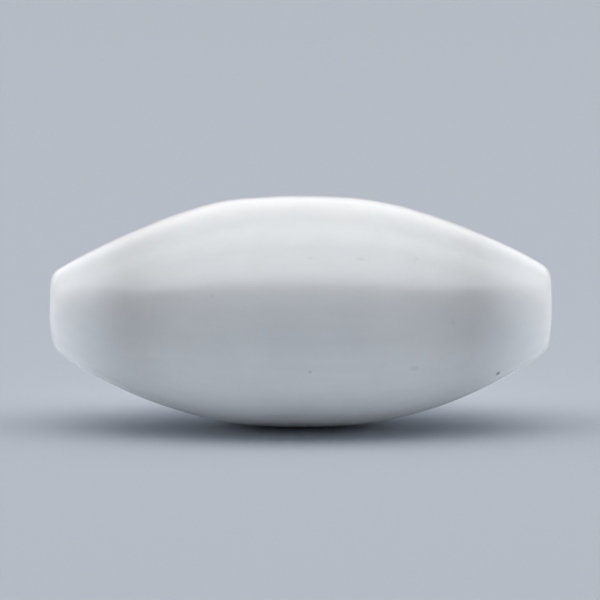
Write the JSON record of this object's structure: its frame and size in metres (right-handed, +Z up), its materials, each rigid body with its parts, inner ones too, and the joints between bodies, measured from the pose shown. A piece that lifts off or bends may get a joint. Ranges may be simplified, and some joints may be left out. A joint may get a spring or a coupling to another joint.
{
  "type": "magnetic stir bar",
  "caption": "Egg-shaped magnetic stir bar: a rod magnet sealed in a smooth white fluoropolymer jacket with small flat ends, for stirring liquid in round-bottomed vessels.",
  "frame": {"origin": "lowest point of the belly, under the bar's centre: the point that the bar spins on as it lies on a surface", "axes": "+X along the bar's long axis, +Z up from the surface that it lies on; the vertical line through the origin is its spin axis in a stirrer"},
  "size_m": [0.035, 0.0162, 0.0162],
  "materials": {
    "ptfe": "satin",
    "magnet_alloy": "as cast, with ground sides"
  },
  "bodies": {
    "root": {"ptfe_jacket": "ptfe", "bar_magnet": "magnet_alloy"}
  },
  "joints": []
}
